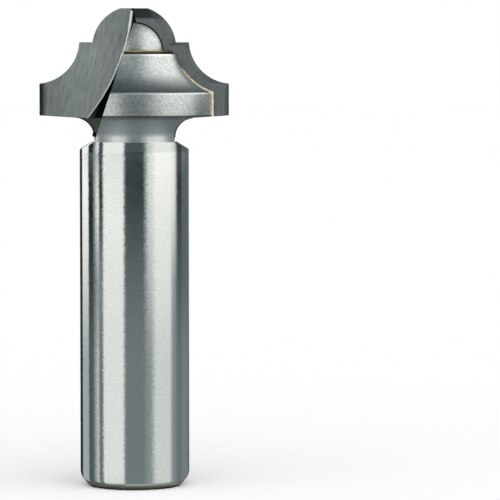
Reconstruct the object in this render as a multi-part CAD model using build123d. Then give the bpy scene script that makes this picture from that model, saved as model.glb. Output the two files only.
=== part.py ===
from build123d import *
from math import acos, asin, cos, degrees, radians, sin, sqrt, tan
import os

# Router bit: a steel body with two brazed carbide cutters that cut a classical
# profile, a round nose with a step and a cove on each side of it.
# Millimetres, +Z up. The bit stands on its shank: the origin is the centre of the
# shank's end face, and the cutters are at the top. It cuts when it turns
# counter-clockwise, seen from the cutting end. The first cutter lies at -X with its
# rake face on the XZ plane, towards -Y, and the second is the first one turned half
# a turn about Z.

# Shank and neck
shank_diameter = 12.7
shank_length = 39.2
end_chamfer_width = 1.0
end_chamfer_height = 1.2
shoulder_height = 0.85
neck_diameter = 9.76
neck_length = 3.05
neck_fillet = 2.35

# Cutting edge, from the outside in: a straight land, a cove, a flat step and a nose
cutting_diameter = 22.0
land_height = 3.7
cove_radius = 5.08
cove_overhang = 0.44
step_height = 4.78
nose_radius = 4.9
nose_centre_drop = 0.7
nose_height = 3.94
underside_slope = 3.0

# Carbide cutters, and how far each flank falls back over their thickness
cutter_thickness = 1.6
land_relief = 0.6
cove_relief = 0.5
step_relief = 0.3
nose_relief = 0.8
tip_relief = 1.1

# Inner edge of a cutter, an arc that comes nearest to the gullet wall below the tip. The
# second cutter's passes the axis, so that the bit cuts to its centre when it plunges.
inner_edge_radius = 23.0
inner_edge_contact_drop = 5.42
centre_edge_radius = 30.0
centre_edge_contact_drop = 4.22

# Steel head, set back from the cutting edge
land_set_back = 1.9
cove_set_back = 1.5
step_set_back = 1.38
nose_set_back = 1.2
nose_centre_rise = 0.3

# Gullets: slanting walls that cross on the axis below the tip and run out at the neck
gullet_angle = 18.4
gullet_crossing_drop = 1.57

# Silver solder: layer under a cutter, least seam at the gullet wall, and how far it stands
# out past the steel's band, cove, and step and nose
solder_layer = 0.12
solder_seam = 0.08
solder_bead = 0.3
solder_cove_bead = 0.12
solder_film = 0.05
solder_seam_height = 3.3

# Broken edges of the turned steel
band_edge_break = 0.15
step_edge_break = 0.1
shoulder_edge_break = 0.2

# Radii and heights that follow from the sizes above
shank_radius = shank_diameter / 2
neck_radius = neck_diameter / 2
cutting_radius = cutting_diameter / 2
neck_bottom = shank_length + shoulder_height
head_bottom = neck_bottom + neck_length
land_top = head_bottom + land_height
step_top = land_top + step_height
tip_top = step_top + nose_height
cove_x = cutting_radius + cove_overhang
cove_z = land_top + sqrt(cove_radius**2 - cove_overhang**2)
nose_z = step_top - nose_centre_drop
steel_step = step_top - step_set_back
steel_nose_radius = nose_radius - nose_set_back
steel_nose_z = steel_step + nose_centre_rise
seat_depth = cutter_thickness + solder_layer
gullet_crossing = tip_top - gullet_crossing_drop
wall_slope = tan(radians(gullet_angle))
reach = 2 * cutting_radius


def underside(radius):
    """Height of the head's underside, which slopes down towards the neck."""
    return head_bottom - (cutting_radius - radius) * tan(radians(underside_slope))


def wall_x(height):
    """X of the first gullet's wall at a height."""
    return (height - gullet_crossing) * wall_slope


def form_edges(land_x, cove_r, step_z, nose_r, nose_centre, nose_end):
    """Land, cove, step and nose in a row, with the radius along X and the height along Y.

    nose_end is the angle above the horizontal at which the nose's arc ends.
    """
    land_angle = 180 + degrees(acos((cove_x - land_x) / cove_r))
    step_angle = 180 + degrees(asin((cove_z - step_z) / cove_r))
    cove = CenterArc((cove_x, cove_z), cove_r, land_angle, step_angle - land_angle)
    root_angle = degrees(asin((step_z - nose_centre) / nose_r))
    nose = CenterArc((0, nose_centre), nose_r, root_angle, nose_end - root_angle)
    land = Line((land_x, underside(land_x)), cove @ 0)
    step = Line(cove @ 1, nose @ 0)
    return [land, cove, step, nose]


def steel_form(bead, cove_bead, film):
    """Edges of the steel head, with its band, its cove and the rest grown by these amounts."""
    return form_edges(
        cutting_radius - land_set_back + bead,
        cove_radius + cove_set_back - cove_bead,
        steel_step + film,
        steel_nose_radius + film,
        steel_nose_z,
        90,
    )


def rounded(face, point, radius):
    """The face with its corner at the point rounded."""
    corner = face.vertices().sort_by_distance(point)[0]
    return fillet(corner, radius)


def turned_steel():
    """Shank, neck and head as one turned solid, before the gullets are cut."""
    head = steel_form(0, 0, 0)
    neck_corner = (neck_radius, underside(neck_radius))
    shoulder_foot = (shank_radius, shank_length)
    outside = Polyline(
        (0, 0),
        (shank_radius - end_chamfer_width, 0),
        (shank_radius, end_chamfer_height),
        shoulder_foot,
        (neck_radius, neck_bottom),
        neck_corner,
        head[0] @ 0,
    )
    section = make_face([outside, *head, Line(head[-1] @ 1, (0, 0))])
    section = rounded(section, neck_corner, neck_fillet)
    section = rounded(section, shoulder_foot, shoulder_edge_break)
    section = rounded(section, head[0] @ 0, band_edge_break)
    section = rounded(section, head[1] @ 0, band_edge_break)
    section = rounded(section, head[2] @ 0, step_edge_break)
    return revolve(Plane.XZ * section, Axis.Z)


def soldered_head():
    """The steel head grown by the solder's bead and film, to trim the solder to."""
    head = steel_form(solder_bead, solder_cove_bead, solder_film)
    inside = Polyline(head[-1] @ 1, (0, underside(0)), head[0] @ 0)
    return revolve(Plane.XZ * make_face([*head, inside]), Axis.Z)


def beside_wall(front, back, bottom):
    """Everything to the left of the gullet wall, between two depths and above a height.

    The wall ends on the axis, where the second gullet's wall meets it.
    """
    top = tip_top + nose_height
    outline = Polyline(
        (wall_x(bottom), bottom),
        (-reach, bottom),
        (-reach, top),
        (0, top),
        (0, gullet_crossing),
        close=True,
    )
    return extrude(Plane.XZ.offset(-front) * make_face(outline), front - back)


def cutter_section(fall):
    """Section of a cutter's blank, which runs past the axis.

    fall is 0 at the rake face and 1 at the back face.
    """
    nose_r = nose_radius - fall * nose_relief
    tip = tip_top - fall * tip_relief
    edges = form_edges(
        cutting_radius - fall * land_relief,
        cove_radius + fall * cove_relief,
        step_top - fall * step_relief,
        nose_r,
        nose_z,
        degrees(asin((tip - nose_z) / nose_r)),
    )
    inner_foot = (-neck_radius, underside(-neck_radius))
    inside = Polyline(edges[-1] @ 1, (-neck_radius, tip), inner_foot, edges[0] @ 0)
    behind_rake = Plane((0, fall * cutter_thickness, 0), x_dir=(-1, 0, 0), z_dir=(0, 1, 0))
    return behind_rake * make_face([*edges, inside])


def cutter_blank():
    """A cutter before its inner edge is cut, with every flank of its cutting edge relieved."""
    return loft([cutter_section(0), cutter_section(1)], ruled=True)


def inner_edge_disc(edge_radius, contact_drop):
    """Disc whose rim is the inner edge of a cutter, a seam's width off the gullet wall."""
    slant = radians(gullet_angle)
    height = tip_top - contact_drop
    away = edge_radius + solder_seam
    centre = Pos(wall_x(height) - away * cos(slant), height + away * sin(slant))
    return extrude(Plane.XZ * centre * Circle(edge_radius), -cutter_thickness)


def solder(disc):
    """Solder layer under a cutter, and the seam between its inner edge and the gullet wall."""
    layer = beside_wall(cutter_thickness, seat_depth, neck_bottom) & soldered_head()
    seam = beside_wall(0, cutter_thickness, head_bottom + solder_seam_height) - disc
    return layer + (seam & cutter_blank())


half_turn = Rot(0, 0, 180)
gullet = beside_wall(-reach, seat_depth, neck_bottom)
pieces = {"steel_body": turned_steel() - gullet - half_turn * gullet}
inner_edges = (
    ("a", Rot(0, 0, 0), inner_edge_radius, inner_edge_contact_drop),
    ("b", half_turn, centre_edge_radius, centre_edge_contact_drop),
)
for name, turn, edge_radius, contact_drop in inner_edges:
    disc = inner_edge_disc(edge_radius, contact_drop)
    pieces["carbide_cutter_" + name] = turn * (cutter_blank() & disc)
    pieces["braze_joint_" + name] = turn * solder(disc)

os.makedirs("parts", exist_ok=True)
for name, piece in pieces.items():
    export_step(piece, "parts/" + name + ".step")
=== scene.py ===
from math import acos, asin, atan2, cos, degrees, hypot, pi, radians, sin, sqrt, tan

import bpy
from bpy.props import FloatProperty, FloatVectorProperty, IntProperty, PointerProperty
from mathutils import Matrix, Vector


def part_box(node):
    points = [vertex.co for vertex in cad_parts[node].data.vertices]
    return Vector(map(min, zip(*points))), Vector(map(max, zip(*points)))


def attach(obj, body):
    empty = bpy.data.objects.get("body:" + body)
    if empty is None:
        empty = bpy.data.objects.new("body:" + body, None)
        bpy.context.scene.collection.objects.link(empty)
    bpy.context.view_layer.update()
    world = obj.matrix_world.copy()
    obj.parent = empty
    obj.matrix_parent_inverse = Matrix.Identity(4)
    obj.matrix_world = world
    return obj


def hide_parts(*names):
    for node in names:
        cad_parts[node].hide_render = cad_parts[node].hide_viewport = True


bl_info = {
    "name": "Router Bit",
    "version": (1, 0, 0),
    "blender": (4, 5, 0),
    "location": "3D View > Sidebar > Router Bit",
    "description": "Models and finishes a two-flute profile router bit, set in a light tent",
    "category": "Object",
}

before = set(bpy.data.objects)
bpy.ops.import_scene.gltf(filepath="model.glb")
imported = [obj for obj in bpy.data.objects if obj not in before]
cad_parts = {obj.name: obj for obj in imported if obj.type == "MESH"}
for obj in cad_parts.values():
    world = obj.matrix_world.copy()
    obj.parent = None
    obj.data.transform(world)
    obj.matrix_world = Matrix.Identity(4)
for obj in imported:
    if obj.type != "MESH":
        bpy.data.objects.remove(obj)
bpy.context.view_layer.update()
MM = 0.001
BIT_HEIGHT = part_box("carbide_cutter_a")[1][2]
CUTTING_RADIUS = -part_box("carbide_cutter_a")[0][0]
CUTTER_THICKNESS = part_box("carbide_cutter_a")[1][1]
WALL_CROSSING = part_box("steel_body")[1][2]
# Radius of each cutter's inner edge, and how far below the tip it comes nearest to the wall
INNER_EDGES = (("a", 23.0 * MM, 5.42 * MM), ("b", 30.0 * MM, 4.22 * MM))
# Steps along the cove, and along the nose, of a form's edge
ARC_STEPS = 28

# The light tent, in mm and degrees: height and rings of its floor, heights up its wall, centre
# and elevations of its dome, and the brightness of its top
TENT_FLOOR = 0.02
TENT_RINGS = (5.35, 5.6, 6.4, 9, 13)
TENT_HEIGHTS = (18, 40, 54)
TENT_CENTRE = 48
TENT_ELEVATIONS = (15, 33, 42, 53, 64, 75, 89)
TENT_TOP = 0.2
# Its sectors, from the back over the left. Each is the azimuth where it ends, in degrees from the
# front to the right, how softly it ends, and its brightness on the floor, at the wall's foot, at
# the three heights and at the elevations below the top
TENT_SECTORS = (
    (-169, 3, 0.2, 0.4, 0.6, 0.7, 0.7, 0.6, 0.6, 0.6, 0.5, 0.4, 0.3),  # card behind
    (-144, 2, 0.15, 0.03, 0.02, 0.02, 0.05, 0.08, 0.15, 0.15, 0.15, 0.15, 0.2),  # flag behind left
    (-114, 2, 0.15, 0.5, 0.85, 1.2, 0.6, 0.4, 0.35, 0.3, 0.25, 0.2, 0.2),  # card left
    (-91, 17, 0.15, 0.13, 0.07, 0.0, 0.2, 0.35, 0.35, 0.3, 0.25, 0.2, 0.2),  # flag left
    (-81, 3, 0.15, 0.72, 0.42, 1.3, 0.6, 0.35, 0.35, 0.3, 0.25, 0.2, 0.2),  # strip left
    (-70, 4, 0.18, 0.22, 0.32, 0.0, 0.1, 0.35, 0.35, 0.3, 0.25, 0.22, 0.2),  # flag thin left
    (-22, 6, 0.32, 0.92, 0.96, 1.08, 1.0, 0.65, 0.5, 0.5, 0.32, 0.28, 0.26),  # softbox left
    (24, 12, 0.48, 0.25, 0.2, 0.09, 0.03, 0.42, 0.48, 0.48, 0.4, 0.36, 0.32),  # flag front
    (40, 12, 0.46, 0.36, 0.6, 0.82, 0.9, 0.9, 0.9, 0.85, 0.75, 0.6, 0.45),  # softbox right front
    (84, 8, 0.4, 0.78, 0.93, 1.04, 1.2, 1.3, 1.35, 1.35, 1.3, 1.0, 0.5),  # softbox right
    (98, 10, 0.35, 0.34, 0.4, 1.0, 1.1, 1.3, 1.35, 1.35, 1.3, 1.0, 0.5),  # softbox right back
    (118, 5, 0.3, 0.22, 0.13, 0.04, 0.1, 1.5, 1.6, 1.35, 1.3, 0.9, 0.5),  # flag right
    (150, 10, 0.2, 0.27, 0.17, 0.15, 0.4, 1.2, 1.0, 0.9, 0.7, 0.5, 0.4),  # card behind right
    (164, 3, 0.2, 0.17, 0.17, 0.18, 0.2, 0.1, 0.3, 0.3, 0.2, 0.1, 0.1),  # flag behind right
    (200, 3, 0.2, 0.4, 0.6, 0.7, 0.7, 0.6, 0.6, 0.6, 0.5, 0.4, 0.3),  # card behind
)


def length(name, description, default, low=0.0):
    """A setting for a length."""
    return FloatProperty(
        name=name, description=description, default=default, min=low, unit="LENGTH", precision=5
    )


def angle(name, description, default):
    """A setting for an angle."""
    return FloatProperty(
        name=name, description=description, default=default, subtype="ANGLE", unit="ROTATION"
    )


def linear(colour):
    """Linear RGBA from an sRGB hex colour such as "8A8D8F"."""
    channels = [int(colour[i:i + 2], 16) / 255 for i in (0, 2, 4)]
    channels = [c / 12.92 if c <= 0.04045 else ((c + 0.055) / 1.055) ** 2.4 for c in channels]
    return (*channels, 1.0)


def colour(name, description, default):
    """A setting for a colour, from its sRGB hex."""
    return FloatVectorProperty(
        name=name, description=description, default=linear(default)[:3], subtype="COLOR",
        size=3, min=0.0, max=1.0,
    )


# ---------------------------------------------------------------- settings


class SteelSettings(bpy.types.PropertyGroup):
    """Sizes of the turned and ground steel body."""

    shank_radius: length("Shank radius", "Radius of the ground shank", 6.35 * MM)
    chamfer_width: length("End chamfer width", "How far the end chamfer comes in", 1.0 * MM)
    chamfer_height: length("End chamfer height", "How far the end chamfer goes up", 1.2 * MM)
    shoulder_bottom: length("Shoulder bottom", "Height at which the shoulder starts", 39.2 * MM)
    neck_bottom: length("Neck bottom", "Height at which the neck starts", 40.05 * MM)
    neck_radius: length("Neck radius", "Radius of the neck", 4.96 * MM)
    neck_fillet: length("Neck fillet", "Radius under the head", 2.35 * MM)
    underside_slope: angle("Underside slope", "Fall of the head's underside", radians(3))
    land_radius: length("Band radius", "Radius of the steel behind the lands", 9.098 * MM)
    cove_radius: length("Cove radius", "Radius of the turned cove", 6.58 * MM)
    step_height: length("Step", "Height of the turned step", 50.2 * MM)
    nose_radius: length("Nose radius", "Radius of the turned nose", 3.7 * MM)
    nose_centre: length("Nose centre", "Height of the turned nose's centre", 50.5 * MM)
    end_break: length("End break", "Rounding above the end chamfer", 0.5 * MM)
    shoulder_break: length("Shoulder break", "Rounding of the shoulder's edge", 0.2 * MM)
    band_break: length("Band break", "Rounding of the band's two edges", 0.12 * MM)
    step_break: length("Step break", "Rounding of the step's edge", 0.08 * MM)
    residue_height: length("Residue", "Height of the flux and shade crust", 0.37 * MM)
    steps: IntProperty(
        name="Steps", description="Facets round the body", default=180, min=24
    )


class CutterSettings(bpy.types.PropertyGroup):
    """Sizes of the brazed cutters, their seats and the solder."""

    land_bottom: length("Land bottom", "Height at which the land starts", 43.1 * MM)
    land_top: length("Land top", "Height at which the land ends", 46.8 * MM)
    cove_x: length("Cove centre", "Distance of the cove's centre from the axis", 11.44 * MM)
    cove_radius: length("Cove radius", "Radius of the cutting edge's cove", 5.08 * MM)
    step_height: length("Step", "Height of the cutting edge's step", 51.58 * MM)
    nose_radius: length("Nose radius", "Radius of the cutting edge's nose", 4.9 * MM)
    nose_centre: length("Nose centre", "Height of the nose's centre", 50.88 * MM)
    land_relief: length("Land relief", "Fall of the land over the thickness", 0.6 * MM)
    cove_relief: length("Cove relief", "Fall of the cove over the thickness", 0.5 * MM)
    step_relief: length("Step relief", "Fall of the step over the thickness", 0.3 * MM)
    nose_relief: length("Nose relief", "Fall of the nose over the thickness", 0.8 * MM)
    tip_relief: length("Tip relief", "Fall of the tip over the thickness", 1.1 * MM)
    wall_angle: angle("Gullet angle", "Slant of the gullet walls", radians(18.4))
    seat_gap: length("Seat gap", "Solder layer between a cutter and its seat", 0.12 * MM)
    seam: length("Seam", "Least gap between a cutter and the gullet wall", 0.08 * MM)
    bead: length("Bead", "Radius of the solder bead at the band", 0.19 * MM)
    edge_break: length("Edge break", "Width of the honed edges", 0.04 * MM)
    honed_margin: length("Honed margin", "Width of the honed margin on the rake faces", 0.1 * MM)


class StageSettings(bpy.types.PropertyGroup):
    """The light tent, the floor and the camera."""

    floor_colour: colour("Floor", "Colour of the floor", "FFFFFF")
    tent_radius: length("Tent radius", "Distance of the light tent's wall from the bit", 0.16)
    camera_distance: length("Camera distance", "Distance from the axis", 0.366)
    camera_height: length("Camera height", "Height of the lens", 0.049)
    camera_yaw: angle("Yaw", "Turn of the camera to the right", radians(2.104))
    camera_pitch: angle("Pitch", "Tilt of the camera", radians(-3.374))
    focal_length: FloatProperty(
        name="Focal length", description="Focal length in mm on a 36 mm sensor", default=226.6,
        min=1,
    )


# ---------------------------------------------------------------- modelling


def arc(centre, radius, start, end, count):
    """Points (radius, height) on an arc, from one angle to another, in degrees."""
    turns = [radians(start + (end - start) * i / count) for i in range(count + 1)]
    return [(centre[0] + radius * cos(t), centre[1] + radius * sin(t)) for t in turns]


def form_edge(land_x, foot, cove_r, step_z, nose_r, nose_centre, nose_end):
    """Land, cove, step and nose as one row of points, from the foot of the land upwards."""
    cutter = bpy.context.scene.router_bit_cutter
    cove_z = cutter.land_top + sqrt(cutter.cove_radius**2 - (cutter.cove_x - CUTTING_RADIUS) ** 2)
    land_angle = 180 + degrees(acos((cutter.cove_x - land_x) / cove_r))
    step_angle = 180 + degrees(asin((cove_z - step_z) / cove_r))
    root_angle = degrees(asin((step_z - nose_centre) / nose_r))
    points = [(land_x, foot)]
    points += arc((cutter.cove_x, cove_z), cove_r, land_angle, step_angle, ARC_STEPS)
    points += arc((0, nose_centre), nose_r, root_angle, nose_end, ARC_STEPS)
    return points


def steel_form():
    """The steel head's band, cove, step and nose, as one row of points."""
    steel = bpy.context.scene.router_bit_steel
    return form_edge(
        steel.land_radius, underside(steel.land_radius), steel.cove_radius,
        steel.step_height, steel.nose_radius, steel.nose_centre, 90,
    )


def neck_fillet_centre():
    """Radius and height of the centre of the neck's fillet."""
    steel = bpy.context.scene.router_bit_steel
    centre_radius = steel.neck_radius + steel.neck_fillet
    return centre_radius, underside(centre_radius) - steel.neck_fillet / cos(steel.underside_slope)


def wall_x(height):
    """X of the first gullet's wall at a height."""
    slope = tan(bpy.context.scene.router_bit_cutter.wall_angle)
    return (height - WALL_CROSSING) * slope


def underside(radius):
    """Height of the head's underside, which slopes down towards the neck."""
    scene = bpy.context.scene
    slope = tan(scene.router_bit_steel.underside_slope)
    return scene.router_bit_cutter.land_bottom - (CUTTING_RADIUS - radius) * slope


def select_only(piece):
    """Select a piece alone and make it the active one."""
    bpy.ops.object.select_all(action="DESELECT")
    piece.select_set(True)
    bpy.context.view_layer.objects.active = piece


def start_piece(name):
    """A new mesh at the origin with one selected vertex in edit mode."""
    bpy.ops.object.select_all(action="DESELECT")
    bpy.ops.mesh.primitive_plane_add(size=MM, location=(0, 0, 0))
    piece = bpy.context.object
    piece.name = name
    piece.data.name = name
    bpy.ops.object.mode_set(mode="EDIT")
    bpy.ops.mesh.select_all(action="SELECT")
    bpy.ops.mesh.merge(type="CENTER")
    return piece


def draw(points, closed):
    """Extrude the selected vertex, at the origin, from point to point."""
    points = [Vector(point) for point in points]
    bpy.ops.transform.translate(value=points[0])
    for here, there in zip(points, points[1:]):
        bpy.ops.mesh.extrude_region_move(TRANSFORM_OT_translate={"value": there - here})
    if closed:
        bpy.ops.mesh.select_all(action="SELECT")
        bpy.ops.mesh.edge_face_add()


def break_corner(piece, corner, width):
    """Round one corner of a section drawn on the XZ plane."""
    bpy.ops.mesh.select_all(action="DESELECT")
    bpy.ops.object.mode_set(mode="OBJECT")
    place = Vector((corner[0], 0, corner[1]))
    min(piece.data.vertices, key=lambda vertex: (vertex.co - place).length).select = True
    bpy.ops.object.mode_set(mode="EDIT")
    bpy.ops.mesh.bevel(
        affect="VERTICES", offset=width, offset_type="OFFSET", segments=4, clamp_overlap=False
    )


def turn_section(steps):
    """Turn the section that is drawn into a body round the bit's axis."""
    bpy.ops.mesh.select_all(action="SELECT")
    bpy.ops.mesh.spin(steps=steps, angle=2 * pi, center=(0, 0, 0), axis=(0, 0, 1))


def finish_piece(piece, smooth_angle=radians(30)):
    """Leave edit mode with the faces pointing outwards and shaded smooth."""
    bpy.ops.mesh.select_all(action="SELECT")
    bpy.ops.mesh.remove_doubles(threshold=0.001 * MM)
    bpy.ops.mesh.normals_make_consistent(inside=False)
    bpy.ops.object.mode_set(mode="OBJECT")
    bpy.ops.object.shade_smooth_by_angle(angle=smooth_angle)
    return piece


def apply_modifier(piece, kind, **settings):
    """Add a modifier with its settings and apply it."""
    select_only(piece)
    modifier = piece.modifiers.new(kind.title(), kind)
    for name, value in settings.items():
        setattr(modifier, name, value)
    bpy.ops.object.modifier_apply(modifier=modifier.name)


def half_turn(piece):
    """Turn a piece half a turn about the bit's axis."""
    select_only(piece)
    piece.rotation_euler[2] = pi
    bpy.ops.object.transform_apply(location=False, rotation=True, scale=False)


def beside_wall(name, front, back, bottom):
    """Block to the left of the gullet wall, between two depths and above a height."""
    top = BIT_HEIGHT + 4 * MM
    reach = 2 * CUTTING_RADIUS
    block = start_piece(name)
    outline = [
        (wall_x(bottom), bottom), (-reach, bottom), (-reach, top), (0, top), (0, WALL_CROSSING)
    ]
    draw([(x, front, z) for x, z in outline], closed=True)
    bpy.ops.mesh.extrude_region_move(TRANSFORM_OT_translate={"value": (0, back - front, 0)})
    return finish_piece(block)


def cut_gullets(piece):
    """Cut both gullets, with their seats, out of a turned piece."""
    scene = bpy.context.scene
    seat_depth = CUTTER_THICKNESS + scene.router_bit_cutter.seat_gap
    neck_bottom = scene.router_bit_steel.neck_bottom
    for turned in (False, True):
        gullet = beside_wall("gullet", -2 * CUTTING_RADIUS, seat_depth, neck_bottom)
        if turned:
            half_turn(gullet)
        apply_modifier(piece, "BOOLEAN", operation="DIFFERENCE", solver="EXACT", object=gullet)
        bpy.data.objects.remove(gullet)
    bpy.ops.object.shade_smooth_by_angle(angle=radians(30))


def bead(name, rows):
    """A round bead of solder through rows of place and radius."""
    curve = bpy.data.curves.new(name, "CURVE")
    curve.dimensions = "3D"
    curve.bevel_depth = 1.0
    curve.bevel_resolution = 4
    curve.use_fill_caps = True
    spline = curve.splines.new("POLY")
    spline.points.add(len(rows) - 1)
    for point, (place, radius) in zip(spline.points, rows):
        point.co = (*place, 1)
        point.radius = radius
    piece = bpy.data.objects.new(name, curve)
    bpy.context.collection.objects.link(piece)
    select_only(piece)
    bpy.ops.object.convert(target="MESH")
    bpy.ops.object.mode_set(mode="EDIT")
    return finish_piece(bpy.context.object, radians(60))


def inner_edge(edge_radius, contact_drop, bottom, top, count=24):
    """Points down a cutter's inner edge, an arc a seam's width off the gullet wall."""
    cutter = bpy.context.scene.router_bit_cutter
    height = BIT_HEIGHT - contact_drop
    away = edge_radius + cutter.seam
    centre_x = wall_x(height) - away * cos(cutter.wall_angle)
    centre_z = height + away * sin(cutter.wall_angle)
    points = []
    for i in range(count + 1):
        z = top + (bottom - top) * i / count
        points.append((centre_x + sqrt(edge_radius**2 - (z - centre_z) ** 2), z))
    return points


def paint(piece, materials, choose):
    """Give a piece its materials, and each face the one that choose picks."""
    piece.data.materials.clear()
    for material in materials:
        piece.data.materials.append(material)
    for face in piece.data.polygons:
        face.material_index = choose(face)


# ---------------------------------------------------------------- materials


def add(tree, kind, *inputs, named=None, **settings):
    """Add a shader node with its settings and return its first output. Its inputs in use, in
    order or by name, each get a value or a link from another node's output."""
    node = tree.nodes.new("ShaderNode" + kind)
    for name, value in settings.items():
        setattr(node, name, value)
    sources = [*zip((socket for socket in node.inputs if socket.enabled), inputs)]
    sources += [(node.inputs[name], source) for name, source in (named or {}).items()]
    for socket, source in sources:
        if isinstance(source, bpy.types.NodeSocket):
            tree.links.new(source, socket)
        else:
            socket.default_value = source
    return next((socket for socket in node.outputs if socket.enabled), None)


def new_material(name):
    """An empty material, with the piece's own place as coordinates, in metres."""
    material = bpy.data.materials.new(name)
    material.use_nodes = True
    tree = material.node_tree
    tree.nodes.clear()
    return material, tree, add(tree, "TexCoord").node.outputs["Object"]


def streaks(tree, place, scale, detail=3.0, roughness=0.6, turn=(0, 0, 0)):
    """Noise stretched by a different number of repeats a metre along each turned axis."""
    sizes = [1 / repeats for repeats in scale]
    stretched = add(tree, "Mapping", place, (0, 0, 0), turn, sizes, vector_type="TEXTURE")
    return add(tree, "TexNoise", stretched, 1.0, detail, roughness)


def millimetres(tree, place):
    """X, Y and Z in millimetres."""
    scaled = add(tree, "VectorMath", place, 1 / MM, operation="SCALE")
    return add(tree, "SeparateXYZ", scaled).node.outputs


def mirrored(tree, place):
    """X, Y and Z in millimetres, with X and Y unsigned, since the cutters are a pair."""
    return millimetres(tree, add(tree, "VectorMath", place, operation="ABSOLUTE"))


def all_of(tree, *masks):
    """A mask that is there only where all of these are."""
    result = masks[0]
    for mask in masks[1:]:
        result = add(tree, "Math", result, mask, operation="MULTIPLY")
    return result


def between(tree, source, start, full, hold, end, strength=1.0):
    """A mask that rises to its strength from start to full, and falls away from hold to end."""
    rise = add(tree, "MapRange", source, start, full, 0.0, strength)
    return all_of(tree, rise, add(tree, "MapRange", source, hold, end, 1.0, 0.0))


def layered(tree, tone, *layers):
    """A colour with others laid over it, each with its mask."""
    for mask, over in layers:
        tone = add(tree, "Mix", mask, tone, over, data_type="RGBA")
    return tone


def ring_direction(tree, place):
    """The direction round the bit's axis at each point, in which it was turned and ground."""
    cross = add(tree, "VectorMath", (0, 0, 1), place, operation="CROSS_PRODUCT")
    return add(tree, "VectorMath", cross, operation="NORMALIZE")


def crowned_normal(tree, place):
    """The shank's normal, carried straight on over its shoulder and the upper half of its end
    chamfer, which are crowned so that they show the shank's own reflections."""
    shank_radius = bpy.context.scene.router_bit_steel.shank_radius / MM
    across, depth, height = millimetres(tree, place)
    square = add(tree, "Math", across, across, operation="MULTIPLY")
    chord = add(tree, "Math", shank_radius**2, square, operation="SUBTRACT")
    chord = add(tree, "Math", chord, operation="SQRT")
    # Near the sides, where the chord would turn the normal too fast, twice the depth stands in
    reach = add(tree, "Math", depth, operation="ABSOLUTE")
    reach = add(tree, "Math", reach, 2.0, operation="MULTIPLY")
    reach = add(tree, "Math", reach, chord, operation="MINIMUM")
    side = add(tree, "Math", depth, operation="SIGN")
    reach = add(tree, "Math", reach, side, operation="MULTIPLY")
    crown = add(tree, "VectorMath", add(tree, "CombineXYZ", across, reach), operation="NORMALIZE")
    shoulder = add(tree, "MapRange", height, 38.8, 39.05, 0.0, 1.0)
    chamfer = between(tree, height, 0.5, 0.8, 1.3, 2.2)
    ends = add(tree, "Math", shoulder, chamfer, operation="MAXIMUM")
    normal = add(tree, "NewGeometry").node.outputs["Normal"]
    return add(tree, "Mix", ends, normal, crown, data_type="VECTOR")


def ground_shank_steel():
    """Tool steel, centreless ground to size. Reflections stay bright and nearly sharp, and the
    grit's fine scratches round the shank fray their edges."""
    material, tree, place = new_material("centreless_ground_tool_steel")
    ring = ring_direction(tree, place)
    height = millimetres(tree, place)[2]
    # Grit marks of 0.15 by 0.3 mm, coarser than the real ones so that they show
    grit = streaks(tree, place, (3600, 3600, 6500), 3.0, 0.7)
    waves = streaks(tree, place, (700, 700, 1500), 2.0)
    tone = layered(
        tree, linear("DBDEDC"),
        (add(tree, "MapRange", grit, 0.3, 0.7, 0.0, 1.0), linear("EBECE9")),
        # Painted reflection: the end chamfer's lower half is tinted straw
        (add(tree, "MapRange", height, 0.6, 0.8, 1.0, 0.0), linear("E6DDC8")),
    )
    sway = add(tree, "MapRange", grit, 0.25, 0.75, -0.03, 0.03)
    normal = add(
        tree, "VectorMath", ring, sway, crowned_normal(tree, place), operation="MULTIPLY_ADD"
    )
    normal = add(tree, "Bump", named={
        "Height": waves, "Normal": normal, "Strength": 0.2, "Distance": 0.006 * MM,
    })
    steel = add(tree, "BsdfPrincipled", named={
        "Base Color": tone,
        "Metallic": 1.0,
        "Roughness": add(tree, "MapRange", waves, 0.3, 0.7, 0.1, 0.14),
        "Anisotropic": 0.5,
        "Anisotropic Rotation": 0.25,
        "Tangent": ring,
        "Normal": normal,
    })
    add(tree, "OutputMaterial", steel)
    return material


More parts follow.
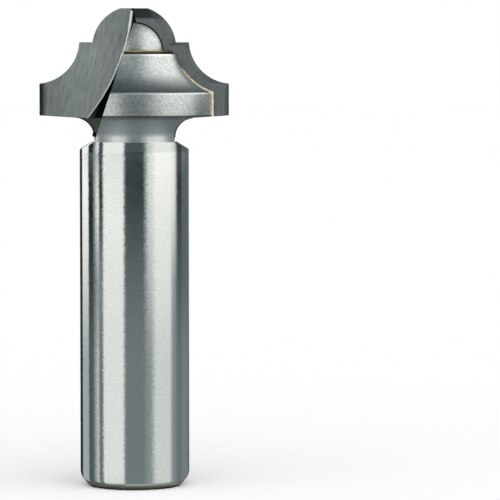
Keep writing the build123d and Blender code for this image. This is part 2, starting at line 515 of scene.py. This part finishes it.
def satin_head_steel():
    """Tool steel, form-ground and left satin, with faint turning rings and a fine mottle from
    the abrasive. The neck's fillet is darker and rougher, from the heat of brazing."""
    material, tree, place = new_material("form_ground_satin_steel")
    across, depth, height = millimetres(tree, place)
    # Abrasive mottle of 0.3 mm and turning rings of 0.2 mm
    grain = streaks(tree, place, (3300, 3300, 4000), 3.0, 0.75)
    rings = streaks(tree, place, (120, 120, 5200), 2.0)
    heat = between(tree, height, 40.6, 41.0, 43.05, 43.2)
    # Painted highlights: the neck's foot and the cove's top edge are whitened
    neck_foot_highlight = add(tree, "MapRange", height, 40.6, 41.2, 0.36, 0.0)
    brim_highlight = between(tree, height, 49.90, 50.05, 50.19, 50.22, 0.7)
    # Painted shade darkens the cove towards its root; a painted highlight whitens the edge below
    # it
    cove_root_shade = between(tree, height, 45.76, 45.84, 45.9, 47.8, 0.88)
    band_edge_highlight = between(tree, height, 45.58, 45.64, 45.76, 45.84, 0.5)
    # Darker on the nose behind each cutter, to a ragged edge, and a painted shadow under the band
    behind = add(tree, "Math", across, depth, operation="MULTIPLY")
    behind = add(tree, "MapRange", behind, -1.0, 0.0, 1.0, 0.0)
    ragged = add(tree, "Math", depth, operation="ABSOLUTE")
    ragged = add(tree, "Math", grain, -0.4, ragged, operation="MULTIPLY_ADD")
    ragged = add(tree, "MapRange", ragged, 1.56, 1.66, 1.0, 0.0)
    on_nose = add(tree, "MapRange", height, 50.3, 50.4, 0.0, 0.85)
    white = (1.0, 1.0, 1.0, 1.0)
    tone = layered(
        tree, linear("ADB0B0"),
        (add(tree, "MapRange", grain, 0.3, 0.7, 0.0, 1.0), linear("E5E8E7")),
        (heat, linear("B2B9BC")),
        (neck_foot_highlight, white),
        (brim_highlight, white),
        (cove_root_shade, linear("5A6368")),
        (band_edge_highlight, white),
        (all_of(tree, behind, ragged, on_nose), linear("34352F")),
        # Painted shadow, olive dark, in a line under the band
        (between(tree, height, 42.6, 43.06, 43.14, 43.24, 0.8), linear("38361F")),
    )
    rough = add(tree, "MapRange", grain, 0.3, 0.7, 0.32, 0.42)
    bump = add(tree, "Bump", named={"Height": grain, "Strength": 0.75, "Distance": 0.018 * MM})
    bump = add(tree, "Bump", named={
        "Height": rings, "Normal": bump, "Strength": 0.2, "Distance": 0.006 * MM,
    })
    steel = add(tree, "BsdfPrincipled", named={
        "Base Color": tone,
        "Metallic": 1.0,
        "Roughness": add(tree, "Math", heat, 0.2, rough, operation="MULTIPLY_ADD"),
        "Anisotropic": 0.2,
        "Anisotropic Rotation": 0.25,
        "Tangent": ring_direction(tree, place),
        "Normal": bump,
    })
    add(tree, "OutputMaterial", steel)
    return material


def milled_gullet_steel():
    """Tool steel as the milling cutter left it in the gullets and seats, dulled to olive and brown
    by the flux and heat of brazing, and darkened further as painted shade, since these recesses
    lie in shadow."""
    material, tree, place = new_material("milled_heat_stained_shaded_steel")
    cusps = streaks(tree, place, (300, 300, 3000), 2.0)
    clouds = streaks(tree, place, (500, 500, 500), 4.0)
    tone = layered(
        tree, linear("5F655F"),
        (add(tree, "MapRange", clouds, 0.35, 0.65, 0.0, 1.0), linear("878B7D")),
    )
    steel = add(tree, "BsdfPrincipled", named={
        "Base Color": tone,
        "Metallic": 1.0,
        "Roughness": add(tree, "MapRange", clouds, 0.3, 0.7, 0.35, 0.55),
        "Normal": add(
            tree, "Bump", named={"Height": cusps, "Strength": 0.4, "Distance": 0.01 * MM}
        ),
    })
    add(tree, "OutputMaterial", steel)
    return material


def ground_carbide(name, scale, low, high, fade=0.0, margin=(10.6, 11.0), tip=0.5, upper=0.0):
    """Cemented tungsten carbide, ground with a diamond wheel. It is greyer and darker than steel,
    and the wheel leaves fine straight lines all one way. Painted shade makes the margins darkest."""
    material, tree, place = new_material(name)
    across, _, height = mirrored(tree, place)
    lines = streaks(tree, place, scale, 2.0, turn=(0, radians(10), 0))
    mottle = streaks(tree, place, (2400, 2400, 2400), 4.0, 0.7)
    clouds = streaks(tree, place, (350, 350, 350), 2.0)
    tone = layered(
        tree, linear(low),
        (add(tree, "MapRange", lines, 0.3, 0.7, 0.0, 1.0), linear(high)),
        (add(tree, "MapRange", mottle, 0.35, 0.65, 0.0, 0.4), linear(high)),
        (add(tree, "MapRange", clouds, 0.35, 0.65, 0.0, 0.12), linear("8A7F74")),
        # Darker towards the lands and the tip
        (add(tree, "MapRange", across, 5.0, 9.5, 0.0, fade), linear("30363A")),
        (add(tree, "MapRange", height, 50.0, 55.5, 0.0, fade), linear("5A6165")),
        # Painted shade along the outer margins
        (add(tree, "MapRange", across, *margin, 0.0, 0.92), linear("22282C")),
        (add(tree, "MapRange", height, 46.6, 47.0, 0.0, upper), linear("30363A")),
        (add(tree, "MapRange", height, 54.1, 54.4, 0.0, tip), linear("0E1624")),
    )
    carbide = add(tree, "BsdfPrincipled", named={
        "Base Color": tone,
        "Metallic": 1.0,
        "Roughness": add(tree, "MapRange", lines, 0.3, 0.7, 0.43, 0.5),
        "Normal": add(
            tree, "Bump", named={"Height": lines, "Strength": 0.15, "Distance": 0.006 * MM}
        ),
    })
    add(tree, "OutputMaterial", carbide)
    return material


def silver_solder(name, low, high, stained_and_shaded):
    """Silver brazing alloy as it flowed: a pale metal with a frosted, slightly rippled skin. With
    flux and shade, burnt flux darkens it round the nose, and painted shade makes it near black on
    the seat's open floor, with an olive flux stain on part of that floor."""
    material, tree, place = new_material(name)
    ripples = streaks(tree, place, (2600, 2600, 2600), 3.0)
    tone = layered(
        tree, linear(low), (add(tree, "MapRange", ripples, 0.35, 0.65, 0.0, 1.0), linear(high))
    )
    shine = 0.5
    if stained_and_shaded:
        across, depth, height = mirrored(tree, place)
        outer = add(tree, "MapRange", across, 7.0, 7.4, 0.0, 1.0)
        cove = between(tree, height, 46.4, 46.6, 50.1, 50.2)
        clean = add(tree, "Math", outer, cove, operation="MAXIMUM")
        clean = all_of(tree, clean, add(tree, "MapRange", depth, 1.4, 1.6, 0.0, 1.0))
        slant = add(tree, "Math", across, 3.0, height, operation="MULTIPLY_ADD")
        # Painted shade: the seat's open floor is near black, with an olive flux stain on part of
        # it
        floor = layered(
            tree, linear("0A0D13"),
            (add(tree, "MapRange", slant, 56.2, 58.0, 0.0, 1.0), linear("5A625C")),
            (add(tree, "MapRange", height, 44.6, 45.6, 0.0, 1.0), linear("0A0D13")),
        )
        tone = layered(tree, floor, (clean, tone))
        # Less shine where it is near black, so that the painted shade and the burnt flux stay dark
        shine = add(tree, "MapRange", clean, 0.0, 1.0, 0.1, 0.5)
    solder = add(tree, "BsdfPrincipled", named={
        "Base Color": tone,
        "Metallic": 0.12,
        "Roughness": add(tree, "MapRange", ripples, 0.3, 0.7, 0.4, 0.6),
        "Specular IOR Level": shine,
        "Normal": add(
            tree, "Bump", named={"Height": ripples, "Strength": 0.4, "Distance": 0.02 * MM}
        ),
    })
    add(tree, "OutputMaterial", solder)
    return material


def burnt_flux_and_shade():
    """Brazing flux that ran onto the step and burnt: a glassy crust, olive yellow where it thins
    out on the nose. It is near black at its foot and beside the cutters; at the foot this near
    black is painted shade for the shadowed groove at the nose's root, and the same near black
    gives the notch beads their painted shade."""
    material, tree, place = new_material("burnt_brazing_flux_and_shade")
    across, _, height = mirrored(tree, place)
    crumbs = streaks(tree, place, (3000, 3000, 3000), 3.0)
    clouds = streaks(tree, place, (400, 400, 400), 2.0)
    thin = all_of(
        tree,
        add(tree, "MapRange", height, 50.38, 50.45, 0.0, 1.0),
        add(tree, "MapRange", clouds, 0.4, 0.6, 0.4, 1.0),
        add(tree, "MapRange", across, 3.0, 4.0, 1.0, 0.1),
    )
    tone = layered(
        # Near black: painted shade at the crust's foot and on the notch beads
        tree, linear("090806"),
        (thin, linear("A59749")),
        (add(tree, "MapRange", crumbs, 0.35, 0.65, 0.0, 0.15), linear("4A3F22")),
    )
    flux = add(tree, "BsdfPrincipled", named={
        "Base Color": tone,
        "Roughness": add(tree, "MapRange", crumbs, 0.3, 0.7, 0.4, 0.65),
        "Specular IOR Level": 0.08,
        "Normal": add(
            tree, "Bump", named={"Height": crumbs, "Strength": 0.5, "Distance": 0.04 * MM}
        ),
    })
    add(tree, "OutputMaterial", flux)
    return material


# ---------------------------------------------------------------- pieces


class BIT_OT_steel_body(bpy.types.Operator):
    """Turn the steel body from its section and cut its two gullets"""

    bl_idname = "router_bit.steel_body"
    bl_label = "Steel body"

    def execute(self, context):
        steel = context.scene.router_bit_steel
        section = [
            (0, 0),
            (steel.shank_radius - steel.chamfer_width, 0),
            (steel.shank_radius, steel.chamfer_height),
            (steel.shank_radius, steel.shoulder_bottom),
            (steel.neck_radius, steel.neck_bottom),
        ]
        slope = degrees(steel.underside_slope)
        section += arc(neck_fillet_centre(), steel.neck_fillet, 180, 90 + slope, 20)
        band_foot = len(section)
        section += steel_form()
        body = start_piece("turned_steel_body")
        draw([(x, 0, z) for x, z in section], closed=False)
        for corner, width in (
            (section[2], steel.end_break), (section[3], steel.shoulder_break),
            (section[band_foot], steel.band_break), (section[band_foot + 1], steel.band_break),
            (section[band_foot + 1 + ARC_STEPS], steel.step_break),
        ):
            break_corner(body, corner, width)
        turn_section(steel.steps)
        finish_piece(body)
        cut_gullets(body)

        def region(face):
            """0 for the shank, 1 for the turned head and neck, 2 for a milled face, which is
            one whose normal points round the axis."""
            centre, normal = face.center, face.normal
            if centre.z < steel.neck_bottom:
                return 0
            round_about = normal.x * -centre.y + normal.y * centre.x
            return 2 if abs(round_about) > 0.05 * hypot(centre.x, centre.y) else 1

        paint(body, [ground_shank_steel(), satin_head_steel(), milled_gullet_steel()], region)
        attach(body, "root")
        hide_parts("steel_body")
        return {"FINISHED"}


class BIT_OT_cutters(bpy.types.Operator):
    """Model the two carbide cutters with their relieved flanks"""

    bl_idname = "router_bit.cutters"
    bl_label = "Carbide cutters"

    def outline(self, fall, edge_radius, contact_drop):
        """Closed outline of a cutter at its rake face (fall 0) or its back (fall 1)."""
        cutter = bpy.context.scene.router_bit_cutter
        nose_r = cutter.nose_radius - fall * cutter.nose_relief
        tip = BIT_HEIGHT - fall * cutter.tip_relief
        land_x = CUTTING_RADIUS - fall * cutter.land_relief
        edge = form_edge(
            land_x, underside(land_x), cutter.cove_radius + fall * cutter.cove_relief,
            cutter.step_height - fall * cutter.step_relief, nose_r, cutter.nose_centre,
            degrees(asin((tip - cutter.nose_centre) / nose_r)),
        )
        inner = inner_edge(edge_radius, contact_drop, underside(4.5 * MM), tip)
        depth = fall * CUTTER_THICKNESS
        return [(-x, depth, z) for x, z in edge] + [(x, depth, z) for x, z in inner]

    def execute(self, context):
        cutter = context.scene.router_bit_cutter
        # Painted shade: the back gets a darker tone than the rake, and the flank darker still
        rake = ground_carbide(
            "diamond_ground_carbide_rake", (4200, 4200, 500), "BAC1C0", "ECF0EF",
            fade=0.34, margin=(10.1, 10.7), tip=0.0,
        )
        back = ground_carbide("diamond_ground_carbide_back_shaded", (3200, 3200, 900), "969E9F", "A6AEAE")
        flank = ground_carbide(
            "diamond_ground_carbide_flank_shaded", (3200, 3200, 900), "747C7E", "848C8E", upper=0.6
        )

        def region(face):
            """0 for the rake face within its honed margin, 1 for the back, 2 for the rest."""
            if face.normal.y < -0.98 and face.area > 10 * MM**2:
                return 0
            return 1 if face.normal.y > 0.98 else 2

        for name, edge_radius, contact_drop in INNER_EDGES:
            piece = start_piece("brazed_cutter_" + name)
            draw(self.outline(0, edge_radius, contact_drop), closed=False)
            bpy.ops.mesh.select_all(action="SELECT")
            bpy.ops.mesh.edge_face_add()
            bpy.ops.mesh.extrude_region_move(
                TRANSFORM_OT_translate={"value": (0, CUTTER_THICKNESS, 0)}
            )
            bpy.ops.object.mode_set(mode="OBJECT")
            # The back face's corners go to the relieved outline
            fronts = [Vector(point) for point in self.outline(0, edge_radius, contact_drop)]
            backs = self.outline(1, edge_radius, contact_drop)
            for vertex in piece.data.vertices:
                if vertex.co.y > 0.5 * CUTTER_THICKNESS:
                    gaps = [(front.xz - vertex.co.xz).length for front in fronts]
                    vertex.co = backs[gaps.index(min(gaps))]
            for face in piece.data.polygons:
                face.select = face.normal.y < -0.98
            bpy.ops.object.mode_set(mode="EDIT")
            bpy.ops.mesh.inset(thickness=cutter.honed_margin)
            finish_piece(piece, radians(25))
            apply_modifier(
                piece, "BEVEL", width=cutter.edge_break, segments=2, limit_method="ANGLE",
                angle_limit=radians(25), harden_normals=True,
            )
            paint(piece, [rake, back, flank], region)
            if name == "b":
                half_turn(piece)
            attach(piece, "root")
            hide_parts("carbide_cutter_" + name)
        return {"FINISHED"}


class BIT_OT_solder(bpy.types.Operator):
    """Finish the solder layers and lay the beads along the cutters' backs and inner edges"""

    bl_idname = "router_bit.solder"
    bl_label = "Solder"

    def back_bead(self):
        """Rows up the steel's band and cove, where the bead stands out behind a cutter."""
        cutter = bpy.context.scene.router_bit_cutter
        depth = CUTTER_THICKNESS + 0.5 * cutter.seat_gap
        form = steel_form()[:ARC_STEPS + 2]
        (band_radius, band_foot), (_, foot) = form[:2]
        top = form[-1][1]
        band_rows = 8
        rows = []
        for i in range(band_rows):
            height = foot + (band_foot - foot) * (1 - i / band_rows)
            rows.append(((band_radius, height), cutter.bead))
        # Thinner and thinner up the cove
        for radius, height in form[1:]:
            thin = 1 - 0.87 * ((height - foot) / (top - foot)) ** 0.7
            rows.append(((radius, height), cutter.bead * thin))
        placed = []
        for i, ((radius, height), size) in enumerate(rows):
            # Uneven, as it flowed
            size *= 1 + 0.1 * sin(1.7 * i) + 0.07 * sin(4.1 * i + 1)
            placed.append(((-sqrt(radius**2 - depth**2) - 0.3 * size, depth, height), size))
        return placed

    def seam_bead(self, edge_radius, contact_drop, top):
        """Rows down a cutter's inner edge, as wide as the seam above and thinning out below it."""
        tip = min(BIT_HEIGHT - 0.3 * MM, top)
        foot = underside(5 * MM)
        least, most = 0.11 * MM, 0.17 * MM
        placed = []
        for i, (x, z) in enumerate(inner_edge(edge_radius, contact_drop, foot, tip, 48)):
            along = (z - foot) / (BIT_HEIGHT - contact_drop - foot)
            if along > 1:
                size = min(max(0.5 * (min(wall_x(z), 0) - x), least), most)
                shift = 0.3
            else:
                size = (0.035 + 0.06 * along) * MM
                shift = -0.4
            size *= 1 + 0.08 * sin(1.3 * i) + 0.05 * sin(3.7 * i)
            placed.append(((x + shift * size, 0, z), size))
        return placed

    def notch_bead(self, drop):
        """Rows down the outer edge of the notch in the neck, for a near-black bead that stands in
        as painted shade along that edge. It swells to a drop at the end, a painted shadow in the
        notch's end."""
        steel = bpy.context.scene.router_bit_steel
        depth = CUTTER_THICKNESS + bpy.context.scene.router_bit_cutter.seat_gap
        fillet_x, fillet_z = neck_fillet_centre()
        rows, drop_row, drop_reach = 25, 22, 4
        placed = []
        for i in range(rows):
            z = 42.98 * MM - i * 0.1 * MM
            rise = min(max(z - fillet_z, 0) / steel.neck_fillet, 0.999)
            radius = fillet_x - steel.neck_fillet * sqrt(1 - rise**2)
            size = 0.07 * MM + drop * max(0, 1 - abs(i - drop_row) / drop_reach)
            placed.append(((-sqrt(radius**2 - depth**2), depth, z), size))
        return placed

    def execute(self, context):
        # The layer's own tone is dark, as painted shade in the gap between each cutter and its
        # seat
        layer = silver_solder("stained_shaded_silver_solder", "4E493B", "6A6454", stained_and_shaded=True)
        tinted = silver_solder("heat_tinted_silver_solder", "DFCDAE", "F2E6CE", stained_and_shaded=False)
        # Near white, beyond silver solder's own pale tone, as a painted highlight along each seam
        pale = silver_solder("silver_solder_painted_highlight", "F6F5EF", "FFFFFF", stained_and_shaded=False)
        flux = burnt_flux_and_shade()
        # The first cutter's seam runs up to the tip, the second one's ends where the walls cross
        tops = (BIT_HEIGHT, WALL_CROSSING)
        for (name, edge_radius, contact_drop), top in zip(INNER_EDGES, tops):
            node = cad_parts["braze_joint_" + name]
            for slot in node.material_slots:
                slot.material = layer
            for kind, material, rows in (
                ("back_bead_", tinted, self.back_bead()),
                ("seam_bead_", pale, self.seam_bead(edge_radius, contact_drop, top)),
                # Near-black beads in the notches, as painted shade
                ("notch_shade_", flux, self.notch_bead(0.2 * MM if name == "a" else 0.03 * MM)),
            ):
                piece = bead(kind + name, rows)
                if name == "b":
                    half_turn(piece)
                piece.data.materials.append(material)
                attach(piece, "root")
        return {"FINISHED"}


class BIT_OT_residue_and_shade(bpy.types.Operator):
    """Lay a thin crust on the step round the nose: burnt flux, and painted shade for the groove at
    its root
    """

    bl_idname = "router_bit.residue"
    bl_label = "Flux residue and painted shade"

    def execute(self, context):
        steel = context.scene.router_bit_steel
        foot = steel.step_height
        section = [
            (3.5 * MM, foot - 0.05 * MM),
            (4.78 * MM, foot - 0.05 * MM),
            (4.76 * MM, foot + 0.15 * MM),
            (4.4 * MM, foot + 0.18 * MM),
            (3.88 * MM, foot + 0.2 * MM),
            (3.73 * MM, foot + steel.residue_height),
            (3.6 * MM, foot + steel.residue_height + 0.03 * MM),
            (3.5 * MM, foot - 0.05 * MM),
        ]
        crust = start_piece("flux_residue_and_shade")
        draw([(x, 0, z) for x, z in section], closed=False)
        turn_section(steel.steps)
        finish_piece(crust)
        # Thicker beside the cutters
        near, slope, extra = 3.1 * MM, 0.5 * MM, 0.16 * MM
        for vertex in crust.data.vertices:
            if vertex.co.z > foot:
                vertex.co.z += extra * min(max((abs(vertex.co.x) - near) / slope, 0), 1)
        cut_gullets(crust)
        crust.data.materials.append(burnt_flux_and_shade())
        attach(crust, "root")
        return {"FINISHED"}


class BIT_OT_stage(bpy.types.Operator):
    """Set up the floor, the light tent and the camera"""

    bl_idname = "router_bit.stage"
    bl_label = "Stage"

    def tent(self):
        """Light tent round the bit, which only reflections show."""
        radius = bpy.context.scene.router_bit_stage.tent_radius / MM
        section = [(ring, TENT_FLOOR) for ring in (*TENT_RINGS, radius)]
        section += [(radius, height) for height in TENT_HEIGHTS]
        for elevation in TENT_ELEVATIONS:
            turn = radians(elevation)
            section.append((radius * cos(turn), TENT_CENTRE + radius * sin(turn)))
        piece = start_piece("light_tent")
        draw([(0, r * MM, z * MM) for r, z in section], closed=False)
        turn_section(360)
        bpy.ops.mesh.remove_doubles(threshold=0.001 * MM)
        bpy.ops.object.mode_set(mode="OBJECT")
        glows = piece.data.attributes.new("glow", "FLOAT", "POINT")
        shank_radius = bpy.context.scene.router_bit_steel.shank_radius
        for vertex in piece.data.vertices:
            distance = hypot(vertex.co.x, vertex.co.y)
            gaps = [hypot(r - distance / MM, z - vertex.co.z / MM) for r, z in section]
            row = gaps.index(min(gaps))
            turn = atan2(vertex.co.x, -vertex.co.y)
            glow, start, start_softness = 0.0, -200, 1
            for end, softness, near, foot, *above in TENT_SECTORS:
                # Nearly dark under the bit
                levels = [0.005, 0.2 * near, near, 0.9 * near, foot, foot, *above, TENT_TOP]
                inside = min(max((degrees(turn) - start) / start_softness + 0.5, 0), 1)
                inside *= min(max((end - degrees(turn)) / softness + 0.5, 0), 1)
                glow += inside * levels[row]
                start, start_softness = end, softness
            glows.data[vertex.index].value = glow
            if distance > shank_radius and vertex.co.z < 60 * MM:
                # Along the shank's reflected rays, so that its stripes stay upright
                away = distance - shank_radius
                beside = shank_radius * min(1, (pi - abs(turn)) / radians(30))
                vertex.co.x = beside * sin(turn / 2) + away * sin(turn)
                vertex.co.y = -beside * cos(turn / 2) - away * cos(turn)
        material, tree, _ = new_material("light_tent")
        glow = add(tree, "Attribute", attribute_name="glow").node.outputs["Fac"]
        bright = add(tree, "MapRange", glow, 0.0, 0.9, 0.0, 1.0)
        tint = layered(tree, linear("DAF2FB"), (bright, linear("FEFFFB")))
        add(tree, "OutputMaterial", add(tree, "Emission", tint, glow))
        piece.data.materials.append(material)
        for ray in ("camera", "diffuse", "transmission", "volume_scatter", "shadow"):
            setattr(piece, "visible_" + ray, False)

    def execute(self, context):
        scene = context.scene
        stage = scene.router_bit_stage
        scene.view_settings.view_transform = "Standard"
        self.tent()

        # Floor, pale and matt
        bpy.ops.object.select_all(action="DESELECT")
        bpy.ops.mesh.primitive_plane_add(size=6, location=(0, 0, 0))
        floor = context.object
        floor.name = "floor"
        material, tree, _ = new_material("matt_pale_floor")
        add(tree, "OutputMaterial", add(tree, "BsdfDiffuse", (*stage.floor_colour, 1), 1.0))
        floor.data.materials.append(material)

        # White world, so that the background is white and lights the bit evenly
        world = bpy.data.worlds.new("light_tent")
        scene.world = world
        world.use_nodes = True
        tree = world.node_tree
        tree.nodes.clear()
        add(tree, "OutputWorld", add(tree, "Background", (1, 1, 1, 1), 1.0))

        bpy.ops.object.select_all(action="DESELECT")
        bpy.ops.object.camera_add(
            location=(0, -stage.camera_distance, stage.camera_height),
            rotation=(pi / 2 + stage.camera_pitch, 0, -stage.camera_yaw),
        )
        camera = context.object
        camera.data.sensor_width = 36
        camera.data.lens = stage.focal_length
        camera.data.clip_start = 0.01
        scene.camera = camera
        return {"FINISHED"}


class BIT_PT_panel(bpy.types.Panel):
    """The bit's pieces, in the 3D view's sidebar"""

    bl_idname = "BIT_PT_panel"
    bl_label = "Router Bit"
    bl_space_type = "VIEW_3D"
    bl_region_type = "UI"
    bl_category = "Router Bit"

    def draw(self, context):
        for operator in OPERATORS:
            self.layout.operator(operator.bl_idname)
        for name, group in SETTINGS.items():
            box = self.layout.box()
            box.label(text=group.__doc__)
            for prop in group.__annotations__:
                box.prop(getattr(context.scene, name), prop)


SETTINGS = {
    "router_bit_steel": SteelSettings,
    "router_bit_cutter": CutterSettings,
    "router_bit_stage": StageSettings,
}
OPERATORS = (BIT_OT_steel_body, BIT_OT_cutters, BIT_OT_solder, BIT_OT_residue_and_shade, BIT_OT_stage)


def register():
    for group in (*SETTINGS.values(), *OPERATORS, BIT_PT_panel):
        bpy.utils.register_class(group)
    for name, group in SETTINGS.items():
        setattr(bpy.types.Scene, name, PointerProperty(type=group))


def unregister():
    for name in SETTINGS:
        delattr(bpy.types.Scene, name)
    for group in reversed((*SETTINGS.values(), *OPERATORS, BIT_PT_panel)):
        bpy.utils.unregister_class(group)


def main():
    register()
    bpy.ops.router_bit.steel_body()
    bpy.ops.router_bit.cutters()
    bpy.ops.router_bit.solder()
    bpy.ops.router_bit.residue()
    bpy.ops.router_bit.stage()


if __name__ == "__main__":
    main()
